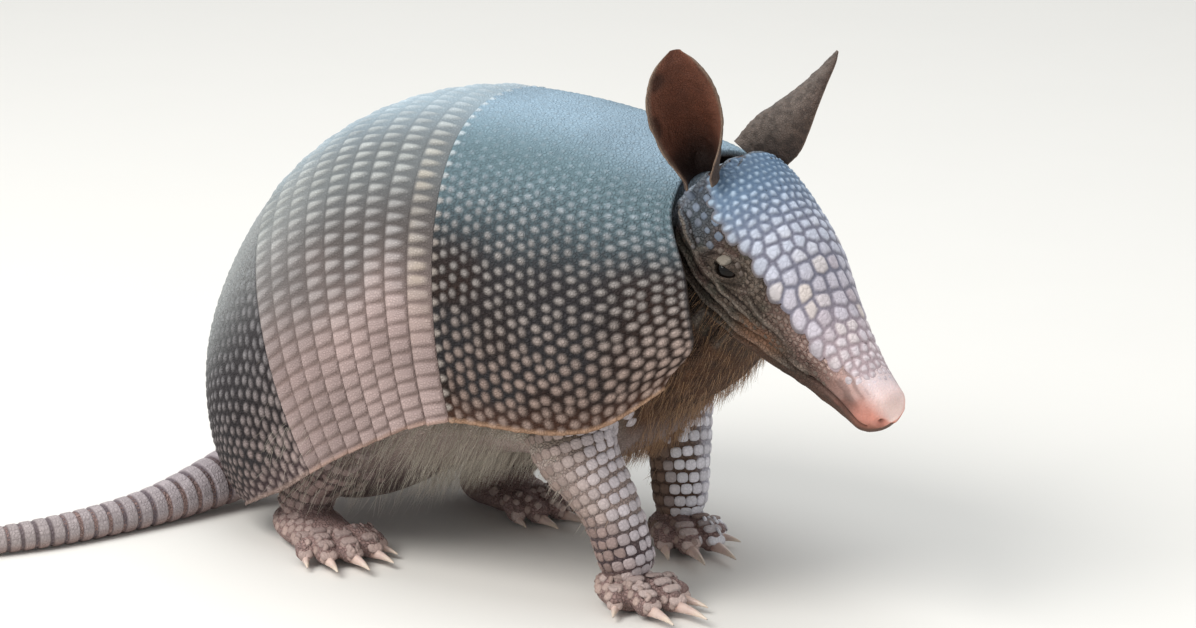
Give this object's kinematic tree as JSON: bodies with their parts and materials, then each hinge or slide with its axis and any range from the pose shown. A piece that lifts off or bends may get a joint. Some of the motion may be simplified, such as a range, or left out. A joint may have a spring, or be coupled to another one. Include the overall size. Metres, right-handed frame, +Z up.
{
  "type": "nine-banded armadillo",
  "caption": "Life-size armadillo model walking with its head lowered, with an arched banded shell, upright ears, clawed feet and a ringed tail on the floor.",
  "frame": {"origin": "on the floor, under the middle of the whole animal's box", "axes": "+X towards the snout, +Y to the animal's left, +Z up; the soles are at z = 0"},
  "size_m": [0.4298, 0.2576, 0.2195],
  "materials": {
    "shield_horn": "dull horny scutes, satin on their tops",
    "band_horn": "dull horny scutes in narrow rows",
    "head_horn": "pale horny plates with dark seams",
    "bare_skin": "dry wrinkled skin with sparse pale hair",
    "scaly_skin": "dry skin set with pale scales",
    "ear_skin": "thin pebbled skin",
    "tail_rings": "horny rings of scales",
    "claw": "smooth pale horn",
    "eye": "wet and glossy"
  },
  "bodies": {
    "root": {"shoulder_shield": "shield_horn", "band_1": "band_horn", "band_2": "band_horn", "band_3": "band_horn", "band_4": "band_horn", "band_5": "band_horn", "band_6": "band_horn", "band_7": "band_horn", "band_8": "band_horn", "band_9": "band_horn", "pelvic_shield": "shield_horn", "trunk": "bare_skin", "neck": "bare_skin", "head": "bare_skin", "head_shield": "head_horn", "right_ear": "ear_skin", "right_eye": "eye", "left_ear": "ear_skin", "left_eye": "eye", "tail_1": "tail_rings", "tail_2": "tail_rings", "tail_3": "tail_rings", "tail_4": "tail_rings", "right_foreleg": "scaly_skin", "left_foreleg": "scaly_skin", "right_hind_leg": "scaly_skin", "left_hind_leg": "scaly_skin", "right_forefoot": "scaly_skin", "right_forefoot_claw_1": "claw", "right_forefoot_claw_2": "claw", "right_forefoot_claw_3": "claw", "right_forefoot_claw_4": "claw", "left_forefoot": "scaly_skin", "left_forefoot_claw_1": "claw", "left_forefoot_claw_2": "claw", "left_forefoot_claw_3": "claw", "left_forefoot_claw_4": "claw", "right_hind_foot": "scaly_skin", "right_hind_foot_claw_1": "claw", "right_hind_foot_claw_2": "claw", "right_hind_foot_claw_3": "claw", "right_hind_foot_claw_4": "claw", "right_hind_foot_claw_5": "claw", "left_hind_foot": "scaly_skin", "left_hind_foot_claw_1": "claw", "left_hind_foot_claw_2": "claw", "left_hind_foot_claw_3": "claw", "left_hind_foot_claw_4": "claw", "left_hind_foot_claw_5": "claw"}
  },
  "joints": []
}
